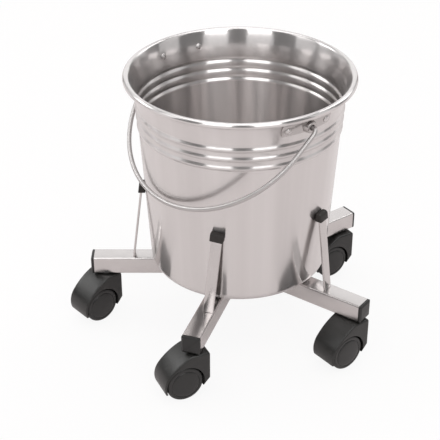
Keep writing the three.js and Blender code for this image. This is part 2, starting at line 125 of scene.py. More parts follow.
class KickBucketPail(bpy.types.PropertyGroup):
    stand: length("Stand", 93.3, "Height of the pail's underside above the floor")
    height: length("Height", 276, "Underside to the top of the rim")
    sheet: length("Sheet", 0.8, "Thickness of the steel sheet")
    rim: length("Rim radius", 150, "Outside of the rolled rim")
    curl: length("Curl radius", 4.2, "Outside radius of the roll")
    wall_top: length("Upper wall radius", 133.85, "Wall's outer radius where the flare starts")
    wall_low: length("Lower wall radius", 119, "Wall line carried down to the underside")
    flare: length("Flare height", 238, "Height where the wall starts to flare")
    roll_start: angle("Roll start", 157, "Where the flare runs into the rolled rim")
    corner: length("Corner radius", 14, "Rounding between wall and bottom")
    foot: length("Foot radius", 101, "Start of the ring that the pail stands on")
    panel: length("Panel rise", 3, "Bottom panel above the foot ring")
    bead_half: length("Bead half height", 4.6, "Half the height of a wall bead")
    bead_out: length("Bead depth", 1.9, "How far a bead stands out")
    ear_turn: angle("Ear direction", -54, "Direction of the front ear seen from above")
    ear_height: length("Ear height", 256, "Bail axis above the underside")


class KickBucketBail(bpy.types.PropertyGroup):
    wire: length("Wire radius", 3, "Radius of the bail's wire")
    half: length("Half width", 154, "Half the width between the legs")
    depth: length("Depth", 178, "Ear axis to the middle of the wire")
    leg: length("Leg", 38, "Straight part of a leg")
    bend: length("Bend radius", 7, "Bend between a leg and its pin")
    rest: angle("Rest angle", 48.5, "Angle from straight down at rest")


class KickBucketFrame(bpy.types.PropertyGroup):
    tube: length("Tube", 25, "Outside of the square tube")
    top: length("Tube top", 93, "Floor to the top of the arms")
    reach: length("Arm reach", 200, "Frame axis to the end of a tube")
    hub: length("Hub radius", 24, "Outside radius of the hub ring")
    hub_wall: length("Hub wall", 4, "Wall of the hub ring")
    strap_width: length("Strap width", 14, "Width of an upright")
    strap_thick: length("Strap thickness", 3, "Thickness of an upright")
    strap_foot: length("Strap foot", 143, "Frame axis to an upright's inner face at the arm")
    strap_rise: length("Strap rise", 111, "Upright's top above the arm")
    askew_foot: length("Askew foot", 4, "Foot of the askew upright off its arm's middle")
    askew_lean: length("Askew lean", 8, "Top of the askew upright, further off")
    cap_grip: length("Cap grip", 9, "Depth of an upright inside its rubber cap")
    cap_skin: length("Cap skin", 2.4, "Rubber around an upright")


class KickBucketCaster(bpy.types.PropertyGroup):
    reach: length("Stem reach", 185, "Frame axis to the swivel axis")
    wheel: length("Wheel radius", 25, "Radius of a wheel")
    trail: length("Trail", 22, "Swivel axis to axle")
    web: length("Web", 8, "Thickness of the web between the wheels")
    half: length("Half width", 20, "Half the width of the hood")
    hood: length("Hood radius", 28.5, "Radius of the hood about the axle")
    front: length("Hood front", 12.5, "Swivel axis to the front of the hood")
    skirt: length("Hood skirt", 26, "Height of the hood's front edge")


class KickBucketColours(bpy.types.PropertyGroup):
    steel: colour("Polished steel", (0.70, 0.672, 0.665), "Pail sheet")
    wire: colour("Wire steel", (0.53, 0.508, 0.502), "Bail")
    rivet: colour("Rivet steel", (0.62, 0.595, 0.588), "Rivets")
    ear: colour("Ear steel", (0.50, 0.475, 0.468), "Ear plates and their bosses")
    tube: colour("Frame steel", (0.62, 0.592, 0.585), "Arms, hub and uprights")
    # Painted shade: a darker copy of the frame steel for the uprights' faces towards the pail, standing in
    # for the shade in the gap between upright and wall, seen as a dark strip in the wall's reflection.
    dull: colour("Painted shade steel", (0.30, 0.275, 0.265), "Inner faces of the uprights")
    nylon: colour("Black nylon", (0.015, 0.0144, 0.0134), "Caster hoods")
    plug: colour("Plug nylon", (0.010, 0.0095, 0.009), "Plugs in the tube ends")
    tread: colour("Wheel nylon", (0.012, 0.0116, 0.011), "Wheels")
    rubber: colour("Black rubber", (0.018, 0.014, 0.012), "Caps on the uprights")
    pin: colour("Plated pins", (0.45, 0.44, 0.43), "Stems and axles")
    polish: factor("Brush", 0.3, "Roughness of the sheet's brushing")
    mirror: factor("Mirror", 0.12, "Roughness of the sheet's polish over the brushing")
    shine: factor("Shine", 0.62, "Share of the polish")


def settings(name):
    """One group of the sizes or the colours."""
    return getattr(bpy.context.scene, "kick_bucket_" + name)


class Wire:
    """A socket in a node tree that shader sums can be written with."""

    def __init__(self, tree, socket=None):
        self.tree = tree
        self.socket = socket

    def node(self, kind, options=None, inputs=None, output=0):
        """Add a node: its type, its settings, and the values or links of its sockets."""
        made = self.tree.nodes.new(kind)
        for key, value in (options or {}).items():
            setattr(made, key, value)
        for key, value in (inputs or {}).items():
            if isinstance(value, Wire):
                self.tree.links.new(value.socket, made.inputs[key])
            else:
                made.inputs[key].default_value = value
        return Wire(self.tree, made.outputs[output])

    def beside(self, output):
        """Another output of the same node."""
        return Wire(self.tree, self.socket.node.outputs[output])

    def noise(self, scale, detail, roughness=0.55):
        """Noise at this place."""
        return self.node("ShaderNodeTexNoise", None, {
            "Vector": self, "Scale": scale, "Detail": detail, "Roughness": roughness}, "Fac")

    def between(self, low, high, out_low, out_high):
        """This value carried from one range to another, and held at its ends."""
        return self.node("ShaderNodeMapRange", {"clamp": True}, {
            "Value": self, "From Min": low, "From Max": high, "To Min": out_low, "To Max": out_high})

    def tint(self, dark, light):
        """A colour between two, by this value."""
        first, second, mixed = 6, 7, 2
        return self.node("ShaderNodeMix", {"data_type": "RGBA"}, {
            "Factor": self, first: (*dark, 1.0), second: (*light, 1.0)}, mixed)

    def math(self, operation, first, second):
        return self.node("ShaderNodeMath", {"operation": operation}, {0: first, 1: second})

    def __add__(self, other):
        return self.math("ADD", self, other)

    __radd__ = __add__

    def __mul__(self, other):
        return self.math("MULTIPLY", self, other)

    __rmul__ = __mul__

    def __sub__(self, other):
        return self.math("SUBTRACT", self, other)

    def __rsub__(self, other):
        return self.math("SUBTRACT", other, self)


class Finish:
    """A principled material with the object's own coordinates at hand."""

    def __init__(self, name):
        self.material = bpy.data.materials.new(name)
        self.material.use_nodes = True
        self.tree = self.material.node_tree
        self.shader = self.tree.nodes["Principled BSDF"]
        self.coords = Wire(self.tree).node("ShaderNodeTexCoord", output="Object")

    def set(self, **values):
        """Values or links of the surface's sockets, with an underscore for each space in a name."""
        for key, value in values.items():
            socket = self.shader.inputs[key.replace("_", " ")]
            if isinstance(value, Wire):
                self.tree.links.new(value.socket, socket)
            else:
                socket.default_value = value

    def about(self, point=(0.0, 0.0, 0.0), scale=(1.0, 1.0, 1.0)):
        """Object coordinates measured from a point and stretched."""
        moved = self.coords.node(
            "ShaderNodeVectorMath", {"operation": "SUBTRACT"}, {0: self.coords, 1: point})
        return moved.node("ShaderNodeVectorMath", {"operation": "MULTIPLY"}, {0: moved, 1: scale})

    def blend(self, other, share):
        """Let a second surface show through the first by a share."""
        first = Wire(self.tree, self.shader.outputs[0])
        mixed = other.node("ShaderNodeMixShader", None, {0: share, 1: first, 2: other})
        self.tree.links.new(mixed.socket, self.tree.nodes["Material Output"].inputs["Surface"])

    def relief(self, height, strength, distance):
        """Fine bumps from a height."""
        bump = height.node("ShaderNodeBump", None, {
            "Height": height, "Strength": strength, "Distance": distance})
        self.set(Normal=bump)


def scaled(rgb, share):
    return tuple(min(1.0, channel * share) for channel in rgb)


def polished_sheet():
    """Brushed steel with a polish over it, thinner where the beads are rolled."""
    tones = settings("colours")
    finish = Finish("polished_sheet")
    bands_around, smear_stretch = 9.0, (9, 9, 3)
    brushing = 0.25  # direction of the brushing, in turns
    margin, run, thinner = 6, 4 * MM, 0.5
    local = finish.about(AXIS_3D)
    x = local.node("ShaderNodeSeparateXYZ", None, {"Vector": local})
    y, height = x.beside("Y"), x.beside("Z")
    turn = x.math("ARCTAN2", y, x)
    # Partly painted reflection: faint light and dark bands of tone around the pail, an uneven sheet tone
    # that also stands in for the reflection bands of the studio's lamps.
    around = turn.node("ShaderNodeCombineXYZ", None, {"X": turn * bands_around})
    tone_and_reflection_bands = around.noise(scale=1.0, detail=2.0)
    smears = finish.about(scale=smear_stretch).noise(scale=1.0, detail=2.0)
    tone = tone_and_reflection_bands.between(0.3, 0.7, 0.0, 1.0).tint(scaled(tones.steel, 0.97), scaled(tones.steel, 1.02))
    finish.set(
        Metallic=1.0,
        Anisotropic=1.0,
        Anisotropic_Rotation=brushing,
        Base_Color=tone,
        Roughness=smears.between(0.3, 0.75, tones.polish * 0.97, tones.polish * 1.04))
    mirror = tone.node("ShaderNodeBsdfPrincipled", None, {
        "Base Color": tone, "Metallic": 1.0, "Roughness": tones.mirror,
        "Anisotropic": 0.9, "Anisotropic Rotation": brushing})
    low, high = (settings("pail").stand + z * MM for z in (BEADS[0] - margin, BEADS[-1] + margin))
    rolled = height.between(low, low + run, 0.0, 1.0) * height.between(high - run, high, 1.0, 0.0)
    shine = smears.between(0.3, 0.75, tones.shine * 0.95, tones.shine * 1.05)
    finish.blend(mirror, shine * (1.0 - rolled * thinner))
    return finish.material


def drawn_steel(name, rgb, rough, stretch):
    """Steel with a fine grain, stretched along the piece, and faint smears."""
    finish = Finish(name)
    grain = finish.about(scale=stretch).noise(scale=1.0, detail=3.0)
    smears = finish.about().noise(scale=55.0, detail=4.0)
    mottle = smears * 0.5 + grain * 0.5
    finish.set(
        Metallic=1.0,
        Base_Color=smears.tint(scaled(rgb, 0.9), scaled(rgb, 1.06)),
        Roughness=mottle.between(0.3, 0.7, rough * 0.75, rough * 1.4))
    finish.relief(grain, strength=0.08, distance=0.06 * MM)
    return finish.material


def moulded(name, rgb, rough, grain, depth):
    """Nylon or rubber with a grained skin and pale scuffs."""
    finish = Finish(name)
    skin = finish.about().noise(scale=grain, detail=2.0)
    scuffs = finish.about().noise(scale=70.0, detail=5.0, roughness=0.7)
    worn = scuffs.between(0.58, 0.8, 0.0, 1.0)
    finish.set(
        Base_Color=worn.tint(rgb, scaled(rgb, 2.2)),
        Roughness=scuffs.between(0.3, 0.75, rough * 0.85, rough * 1.25),
        IOR=1.52)
    finish.relief(skin, strength=0.15, distance=depth)
    return finish.material


def fresh():
    """Leave edit mode and select nothing."""
    if bpy.context.object and bpy.context.object.mode != "OBJECT":
        bpy.ops.object.mode_set(mode="OBJECT")
    bpy.ops.object.select_all(action="DESELECT")


def alone(piece):
    """Select one piece and make it the active one."""
    fresh()
    piece.select_set(True)
    bpy.context.view_layer.objects.active = piece


def edit(mode="VERT"):
    bpy.ops.object.mode_set(mode="EDIT")
    bpy.ops.mesh.select_mode(type=mode)


def done():
    bpy.ops.object.mode_set(mode="OBJECT")


def thread(name, points):
    """Wire through points: one vertex, extruded from each point to the next; ends in edit mode."""
    fresh()
    points = [Vector(p) for p in points]
    bpy.ops.mesh.primitive_plane_add(size=10 * MM, location=points[0])
    piece = bpy.context.object
    piece.name = name
    bpy.ops.object.transform_apply(location=True, rotation=False, scale=False)
    edit()
    bpy.ops.mesh.select_all(action="SELECT")
    bpy.ops.mesh.merge(type="CENTER")
    for here, there in zip(points, points[1:]):
        bpy.ops.mesh.extrude_region_move(TRANSFORM_OT_translate={"value": there - here})
    bpy.ops.mesh.select_all(action="SELECT")
    return piece


def close_up():
    """Merge doubles and turn the faces outwards."""
    bpy.ops.mesh.select_all(action="SELECT")
    bpy.ops.mesh.remove_doubles(threshold=WELD)
    bpy.ops.mesh.normals_make_consistent(inside=False)


def turned(name, profile, steps):
    """Surface of revolution about Z, through points (radius, height)."""
    piece = thread(name, [(r, 0.0, z) for r, z in profile])
    bpy.ops.mesh.spin(steps=steps, angle=math.tau, center=(0, 0, 0), axis=(0, 0, 1))
    close_up()
    done()
    return piece


def slab(name, outline, width):
    """Prism of an outline in X and Z, centred across Y."""
    piece = thread(name, [(x, -width / 2, z) for x, z in outline])
    bpy.ops.mesh.edge_face_add()
    bpy.ops.mesh.extrude_region_move(TRANSFORM_OT_translate={"value": (0, width, 0)})
    close_up()
    done()
    return piece


def block(name, low, high):
    """Box between two corners."""
    fresh()
    low, high = Vector(low), Vector(high)
    bpy.ops.mesh.primitive_cube_add(size=1.0, location=(low + high) / 2, scale=high - low)
    piece = bpy.context.object
    piece.name = name
    bpy.ops.object.transform_apply(location=True, rotation=True, scale=True)
    return piece


def choose(piece, kind, test):
    """Select faces or edges whose middle and direction pass a test; ends in edit mode."""
    edit(kind)
    bpy.ops.mesh.select_all(action="DESELECT")
    done()
    mesh = piece.data
    if kind == "FACE":
        for face in mesh.polygons:
            face.select = test(face.center, face.normal)
    else:
        for edge in mesh.edges:
            a, b = (mesh.vertices[i].co for i in edge.vertices)
            edge.select = test((a + b) / 2, (b - a).normalized())
    bpy.ops.object.mode_set(mode="EDIT")


def soften(piece, width, segments, limit=35.0):
    """Round the edges that are sharper than a limit in degrees."""
    alone(piece)
    edges = piece.modifiers.new("edges", "BEVEL")
    edges.width = width
    edges.segments = segments
    edges.limit_method = "ANGLE"
    edges.angle_limit = math.radians(limit)
    edges.use_clamp_overlap = True
    bpy.ops.object.modifier_apply(modifier="edges")


def combine(piece, tool, operation):
    """Join a second shape to a piece or cut it out, and remove the second shape."""
    alone(piece)
    cut = piece.modifiers.new("cut", "BOOLEAN")
    cut.operation = operation
    cut.solver = "EXACT"
    cut.object = tool
    bpy.ops.object.modifier_apply(modifier="cut")
    bpy.data.objects.remove(tool)


def smooth(piece, degrees=35.0):
    alone(piece)
    bpy.ops.object.shade_smooth_by_angle(angle=math.radians(degrees))


def seat(piece, matrix):
    """Put a piece in its place and keep the place in its mesh."""
    alone(piece)
    piece.matrix_world = matrix
    bpy.ops.object.transform_apply(location=True, rotation=True, scale=True)


def fit(piece, node, body, slot, *materials):
    """Let a finished piece stand for its node and move with its body."""
    piece.name = "shown_" + node
    piece.data.name = piece.name
    for material in materials:
        piece.data.materials.append(material)
    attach(piece, body)
    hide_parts(node)


def repeat(piece, spots, body, slot, *materials):
    """One copy of a modelled piece for each (node, matrix), then the pattern is removed."""
    for node, place in spots:
        alone(piece)
        bpy.ops.object.duplicate(linked=False)
        twin = bpy.context.object
        seat(twin, place)
        fit(twin, node, body(node) if callable(body) else body, slot, *materials)
    bpy.data.objects.remove(piece)


def arm_turn(number):
    return math.radians(ARM_FIRST + (number - 1) * 360 / ARMS)


def arm_place(number):
    """Place of an arm: X runs out along it from the frame's axis."""
    return Matrix.Translation(AXIS_3D) @ Matrix.Rotation(arm_turn(number), 4, "Z")


def caster_place(number):
    """Place of a caster: Z is its swivel axis, and it trails along X."""
    turn = arm_turn(number)
    stem = AXIS_3D + Vector((math.cos(turn), math.sin(turn), 0)) * settings("caster").reach
    return Matrix.Translation(stem) @ Matrix.Rotation(math.radians(HEADINGS[number - 1]), 4, "Z")


def on_arms(name, place):
    """A spot for each arm's copy of a piece: its node, and its place by the arm's number."""
    return [(f"{name}_{number}", place(number)) for number in range(1, ARMS + 1)]


def own_caster(node):
    return "caster_" + node[-1]


def quarter(steps):
    """Angles from 0 to a right angle."""
    return [math.pi / 2 * i / steps for i in range(steps + 1)]


def arc(x, z, radius, start, end, steps):
    """Points on an arc about (x, z), from one direction in degrees to another."""
    turn = [math.radians(start + (end - start) * i / steps) for i in range(steps + 1)]
    return [(x + radius * math.cos(a), z + radius * math.sin(a)) for a in turn]


def roll(start, end, steps):
    """The wall's outer face carried on inside the rim's roll, between two directions in degrees."""
    size = settings("pail")
    return arc(size.rim - size.curl, size.height - size.curl, size.curl - size.sheet, start, end, steps)


def cone(z):
    """Outer radius of the wall at a height, without its flare."""
    size = settings("pail")
    return size.wall_low + z * (size.wall_top - size.wall_low) / size.flare


def opening():
    """How fast the wall leaves its cone above the start of the flare."""
    size = settings("pail")
    radius, high = roll(math.degrees(size.roll_start), 0, 1)[0]
    return (radius - cone(high)) / (high - size.flare) ** 2


def wall(z):
    """Outer radius of the pail's wall at a height above its underside."""
    return cone(z) + opening() * max(z - settings("pail").flare, 0) ** 2


def taper(z=0.0):
    """Lean of the wall out of the upright at a height above the underside."""
    size = settings("pail")
    return math.atan((size.wall_top - size.wall_low) / size.flare + 2 * opening() * max(z - size.flare, 0))


def pail_face():
    """Outer face of the sheet, from the middle of the bottom to the tucked edge of the rim."""
    size = settings("pail")
    slope, tuck = 5 * MM, -150
    slope_steps, corner_steps, bead_steps, flare_steps, roll_steps = 6, 12, 7, 14, 26
    face = [(0.0, size.panel)]
    for i in range(slope_steps + 1):
        share = i / slope_steps
        face.append((size.foot - (1 - share) * slope, size.panel * (1 + math.cos(math.pi * share)) / 2))
    corner = wall(size.corner) - size.corner / math.cos(taper())
    face += arc(corner, size.corner, size.corner, -90, -math.degrees(taper()), corner_steps)
    for bead in BEADS:
        for i in range(-bead_steps, bead_steps + 1):
            share = i / bead_steps
            z = bead * MM + share * size.bead_half
            face.append((wall(z) + size.bead_out * math.cos(share * math.pi / 2) ** 2, z))
    start = math.degrees(size.roll_start)
    top = roll(start, 0, 1)[0][1]
    for i in range(flare_steps):
        z = size.flare + i / flare_steps * (top - size.flare)
        face.append((wall(z), z))
    return face + roll(start, tuck, roll_steps)


class KICK_OT_pail(bpy.types.Operator):
    """Spin the sheet's outer face and give it its thickness"""
    bl_idname = "kick.pail"
    bl_label = "Pail"

    def execute(self, context):
        size = settings("pail")
        pail = turned("pail_sheet", pail_face(), steps=160)
        side = min(pail.data.polygons, key=lambda face: abs(face.center.z - size.height / 2))
        if side.normal.xy.dot(side.center.xy) < 0:
            alone(pail)
            edit("FACE")
            bpy.ops.mesh.select_all(action="SELECT")
            bpy.ops.mesh.flip_normals()
            done()
        alone(pail)
        sheet = pail.modifiers.new("sheet", "SOLIDIFY")
        sheet.thickness = size.sheet
        sheet.offset = -1.0
        sheet.use_even_offset = True
        bpy.ops.object.modifier_apply(modifier="sheet")
        smooth(pail, 50)
        seat(pail, Matrix.Translation((*PAIL_AXIS, size.stand)))
        fit(pail, "pail", "pail", "polished_steel", polished_sheet())
        return {"FINISHED"}


def beside_wall(z, off):
    """Point (radius, height) at a distance from the wall's outer face."""
    return wall(z) + off / math.cos(taper(z)), z


def wall_place(turn):
    """Frame on the wall at ear height: Z out of the wall, Y round it."""
    size = settings("pail")
    out = Matrix.Rotation(math.pi / 2 + taper(size.ear_height), 4, "Y")
    spot = Matrix.Translation((wall(size.ear_height), 0, size.ear_height))
    return Matrix.Translation((*PAIL_AXIS, size.stand)) @ Matrix.Rotation(turn, 4, "Z") @ spot @ out


class KICK_OT_ears(bpy.types.Operator):
    """Bend an ear plate round the wall and raise its hollow boss"""
    bl_idname = "kick.ears"
    bl_label = "Ears"

    def execute(self, context):
        size = settings("pail")
        wire = settings("bail").wire
        steel = drawn_steel("ear_steel", settings("colours").ear, rough=0.2, stretch=(30, 30, 300))
        thick, tall, long, edge = 1.5 * MM, 16 * MM, 76 * MM, 0.35 * MM
        boss_foot, boss_top, boss_out, boss_edge = 9.4 * MM, 7.2 * MM, 9 * MM, 0.9 * MM
        bore, bore_deep, rounding = wire + 0.35 * MM, 7.6 * MM, 0.48 * tall
        mid = size.ear_height
        half = long / 2 / wall(mid)
        low, high = mid - tall / 2, mid + tall / 2
        section = [beside_wall(z, GAP) for z in (low, mid, high)]
        section += [beside_wall(z, GAP + thick) for z in (high, mid, low)]
        ear = thread("ear_plate", [(r * math.cos(half), r * math.sin(half), z) for r, z in section])
        bpy.ops.mesh.edge_face_add()
        bpy.ops.mesh.spin(steps=30, angle=2 * half, center=(0, 0, 0), axis=(0, 0, 1))
        close_up()
        done()

        def end_corner(middle, way):
            """Edge through the plate's thickness at one of its four corners."""
            turn = abs(math.atan2(middle.y, middle.x))
            return turn > half * 0.999 and abs(way.z) < 0.2

        choose(ear, "EDGE", end_corner)
        bpy.ops.mesh.bevel(offset=rounding, segments=10, affect="EDGES")
        close_up()
        done()
        soften(ear, edge, 2)
        fresh()
        bpy.ops.mesh.primitive_cone_add(
            vertices=48, radius1=boss_foot, radius2=boss_top, depth=boss_out,
            location=(wall(mid) + boss_out / 2, 0, mid), rotation=(0, math.pi / 2, 0))
        boss = bpy.context.object
        bpy.ops.object.transform_apply(location=True, rotation=True, scale=True)
        choose(boss, "FACE", lambda middle, way: way.x > FLAT)
        bpy.ops.mesh.inset(thickness=boss_top - bore)
        bpy.ops.mesh.extrude_region_move(TRANSFORM_OT_translate={"value": (-bore_deep, 0, 0)})
        close_up()
        done()
        soften(boss, boss_edge, 3)
        combine(ear, boss, "UNION")
        below, above = low - 8 * MM, high + 6 * MM
        skin = [beside_wall(z, GAP) for z in (below, low, mid, high, above)]
        core = turned("ear_core", [(0, below), *skin, (0, above)], steps=240)
        combine(ear, core, "DIFFERENCE")
        smooth(ear)
        turns = {"ear_front": size.ear_turn, "ear_back": size.ear_turn + math.pi}
        lift = Matrix.Translation((*PAIL_AXIS, size.stand))
        spots = [(node, lift @ Matrix.Rotation(turn, 4, "Z")) for node, turn in turns.items()]
        repeat(ear, spots, "pail", "wire_steel", steel)
        return {"FINISHED"}


class KICK_OT_rivets(bpy.types.Operator):
    """Turn a rivet with a dome on both sides of the sheet and set four of them"""
    bl_idname = "kick.rivets"
    bl_label = "Rivets"

    def execute(self, context):
        size = settings("pail")
        steel = drawn_steel("rivet_steel", settings("colours").rivet, rough=0.24, stretch=(200, 200, 200))
        shank, head, dome, off_middle = 2.5 * MM, 4.6 * MM, 2.4 * MM, 29 * MM
        back_head, back_dome = 0.87 * head, 0.6 * dome
        under, over = -size.sheet - 0.15 * MM, 1.9 * MM
        outer = [(head * math.cos(a), over + dome * math.sin(a)) for a in quarter(10)]
        inner = [(back_head * math.cos(a), under - back_dome * math.sin(a)) for a in quarter(8)]
        profile = inner[::-1] + [(shank, under), (shank, over)] + outer
        rivet = turned("rivet_pattern", profile, steps=32)
        smooth(rivet, 40)
        apart = off_middle / wall(size.ear_height)
        spots = []
        for side, base in (("front", size.ear_turn), ("back", size.ear_turn + math.pi)):
            for end, way in (("left", -1), ("right", 1)):
                spots.append((f"rivet_{side}_{end}", wall_place(base + way * apart)))
        repeat(rivet, spots, "pail", "wire_steel", steel)
        return {"FINISHED"}


class KICK_OT_bail(bpy.types.Operator):
    """Draw the bail's centre line and give the wire its thickness"""
    bl_idname = "kick.bail"
    bl_label = "Bail"

    def execute(self, context):
        size, pail = settings("bail"), settings("pail")
        off_wall = 2 * MM
        half = [(wall(pail.ear_height) + off_wall, 0.0)]
        half += [(size.half - size.bend * (1 - math.sin(a)), size.bend * (1 - math.cos(a)))
                 for a in quarter(8)]
        half += [(size.half * math.cos(a), size.leg + (size.depth - size.leg) * math.sin(a))
                 for a in quarter(36)]
        run = half + [(-u, v) for u, v in half[-2::-1]]
        place = Matrix.Translation((*PAIL_AXIS, pail.stand + pail.ear_height))
        place = place @ Matrix.Rotation(pail.ear_turn, 4, "Z") @ Matrix.Rotation(-size.rest, 4, "X")
        bail = thread("bail_wire", [place @ Vector((u, 0, -v)) for u, v in run])
        done()
        alone(bail)
        bpy.ops.object.convert(target="CURVE")
        bail = bpy.context.object
        bail.data.bevel_depth = size.wire
        bail.data.bevel_resolution = 6
        bail.data.use_fill_caps = True
        bpy.ops.object.convert(target="MESH")
        bail = bpy.context.object
        edit()
        close_up()
        done()
        smooth(bail, 50)
        steel = drawn_steel("bail_steel", settings("colours").wire, rough=0.34, stretch=(120, 120, 120))
        fit(bail, "bail", "bail", "wire_steel", steel)
        return {"FINISHED"}


class KICK_OT_star(bpy.types.Operator):
    """Turn the hub ring and lay the five square tubes round it"""
    bl_idname = "kick.star"
    bl_label = "Star frame"

    def execute(self, context):
        size = settings("frame")
        steel = drawn_steel("tube_steel", settings("colours").tube, rough=0.2, stretch=(60, 60, 60))
        foot, edge = size.top - size.tube, 0.8 * MM
        inner = size.hub - size.hub_wall
        ring = [(inner, foot + edge), (inner + edge, foot), (size.hub - edge, foot),
                (size.hub, foot + edge), (size.hub, size.top - edge), (size.hub - edge, size.top),
                (inner + edge, size.top), (inner, size.top - edge), (inner, foot + edge)]
        hub = turned("hub_ring", ring, steps=64)
        smooth(hub)
        seat(hub, Matrix.Translation(AXIS_3D))
        fit(hub, "hub", "frame", "frame_steel", steel)
        wide, through = size.tube / 2, 200 * MM
        arm = block("arm_tube", (size.hub / 2, -wide, foot), (size.reach, wide, size.top))
        choose(arm, "EDGE", lambda middle, way: abs(way.x) > ALONG)
        bpy.ops.mesh.bevel(offset=TUBE_CORNER, segments=5, affect="EDGES")
        done()
        fresh()
        bpy.ops.mesh.primitive_cylinder_add(
            vertices=96, radius=size.hub + GAP, depth=through, location=(0, 0, size.top))
        combine(arm, bpy.context.object, "DIFFERENCE")
        smooth(arm)
        repeat(arm, on_arms("arm", arm_place), "frame", "frame_steel", steel)
        return {"FINISHED"}


def strap_place(number):
    """Place of an upright on its arm; the askew one has its foot moved and leans about the foot."""
    size = settings("frame")
    place = arm_place(number)
    if number == ASKEW:
        lean = Matrix.Rotation(-math.atan(size.askew_lean / size.strap_rise), 4, "X")
        askew = Matrix.Translation((0, size.askew_foot, size.top)) @ lean
        place = place @ (askew @ Matrix.Translation((0, 0, -size.top)))
    return place


def strap_inner(z):
    """Frame axis to an upright's inner face at a height above the floor."""
    size, pail = settings("frame"), settings("pail")
    high = size.top + size.strap_rise
    top = wall(high - pail.stand) + 2 * GAP + size.cap_skin
    return size.strap_foot + (z - size.top) * (top - size.strap_foot) / size.strap_rise


class KICK_OT_straps(bpy.types.Operator):
    """Draw an upright's leaning side and give it its width"""
    bl_idname = "kick.straps"
    bl_label = "Uprights"

    def execute(self, context):
        size = settings("frame")
        steel = drawn_steel("strap_steel", settings("colours").tube, rough=0.2, stretch=(80, 80, 20))
        # Painted shade: the faces towards the pail take this darker copy of the steel, for the shade
        # between upright and wall; only its higher roughness is the plainer finish.
        dull = drawn_steel("strap_back_painted_shade", settings("colours").dull, rough=0.34, stretch=(80, 80, 20))
        low, high = size.top + GAP, size.top + size.strap_rise
        thick = size.strap_thick
        strap = slab("strap_bar", [
            (strap_inner(low), low), (strap_inner(low) + thick, low),
            (strap_inner(high) + thick, high), (strap_inner(high), high)], size.strap_width)
        soften(strap, 0.5 * MM, 3)
        # Faces towards the pail take the second material, the painted shade.
        for face in strap.data.polygons:
            towards_pail = face.normal.x < -0.7
            face.material_index = int(towards_pail)
        smooth(strap)
        repeat(strap, on_arms("strap", strap_place), "frame", "frame_steel", steel, dull)
        return {"FINISHED"}


class KICK_OT_caps(bpy.types.Operator):
    """Shape the rubber cap that grips an upright and meets the wall"""
    bl_idname = "kick.caps"
    bl_label = "Rubber caps"

    def execute(self, context):
        size, pail = settings("frame"), settings("pail")
        rubber = moulded("cap_rubber", settings("colours").rubber, rough=0.62, grain=900.0, depth=0.08 * MM)
        crown, edge, lip, slack = 3.6 * MM, 1.1 * MM, 0.8 * MM, 0.1 * MM
        side_skin = size.cap_skin - 0.6 * MM
        high = size.top + size.strap_rise
        low, top = high - size.cap_grip, high + size.cap_skin
        width = size.strap_width + 2 * side_skin
        outer = strap_inner(low) + size.strap_thick + size.cap_skin
        lean = outer - (strap_inner(low) - strap_inner(top))
        near = [wall(z - pail.stand) + GAP for z in (low, top)]
        cap = slab("strap_cap_rubber", [
            (near[0], low), (outer, low), (lean, top), (near[1], top)], width)

        def crown_edge(middle, way):
            """Edge across the top, away from the wall."""
            return middle.z > top - slack and middle.x > near[1] + 2 * slack and abs(way.y) > ALONG

        choose(cap, "EDGE", crown_edge)
        bpy.ops.mesh.bevel(offset=crown, segments=6, affect="EDGES")
        done()
        soften(cap, edge, 4)
        choose(cap, "FACE", lambda middle, way: way.z < -FLAT)
        bpy.ops.mesh.inset(thickness=lip)
        bpy.ops.mesh.extrude_region_move(TRANSFORM_OT_translate={"value": (0, 0, lip)})
        done()
        smooth(cap)
        repeat(cap, on_arms("strap_cap", strap_place), "frame", "black_rubber", rubber)
        return {"FINISHED"}


class KICK_OT_plugs(bpy.types.Operator):
    """Shape the moulded plug that closes a tube"""
    bl_idname = "kick.plugs"
    bl_label = "End plugs"

    def execute(self, context):
        size = settings("frame")
        nylon = moulded("plug_nylon", settings("colours").plug, rough=0.4, grain=700.0, depth=0.06 * MM)
        flange, slope, rise, edge, deep, overlap = 2.6 * MM, 2.6 * MM, 1.3 * MM, 0.7 * MM, 6 * MM, MM
        wide, foot = size.tube / 2, size.top - size.tube
        start = size.reach + GAP
        plug = block("plug_face", (start, -wide, foot), (start + flange, wide, size.top))
        choose(plug, "EDGE", lambda middle, way: abs(way.x) > ALONG)
        bpy.ops.mesh.bevel(offset=TUBE_CORNER, segments=5, affect="EDGES")
        done()
        choose(plug, "FACE", lambda middle, way: way.x > FLAT)
        bpy.ops.mesh.inset(thickness=slope)
        bpy.ops.transform.translate(value=(rise, 0, 0))
        done()
        soften(plug, edge, 3, limit=20)
        inside, mid = wide - TUBE_WALL - GAP, size.top - wide
        body = block("plug_body", (start - deep, -inside, mid - inside),
                     (start + overlap, inside, mid + inside))
        combine(plug, body, "UNION")
        smooth(plug)
        repeat(plug, on_arms("end_plug", arm_place), "frame", "black_nylon", nylon)
        return {"FINISHED"}


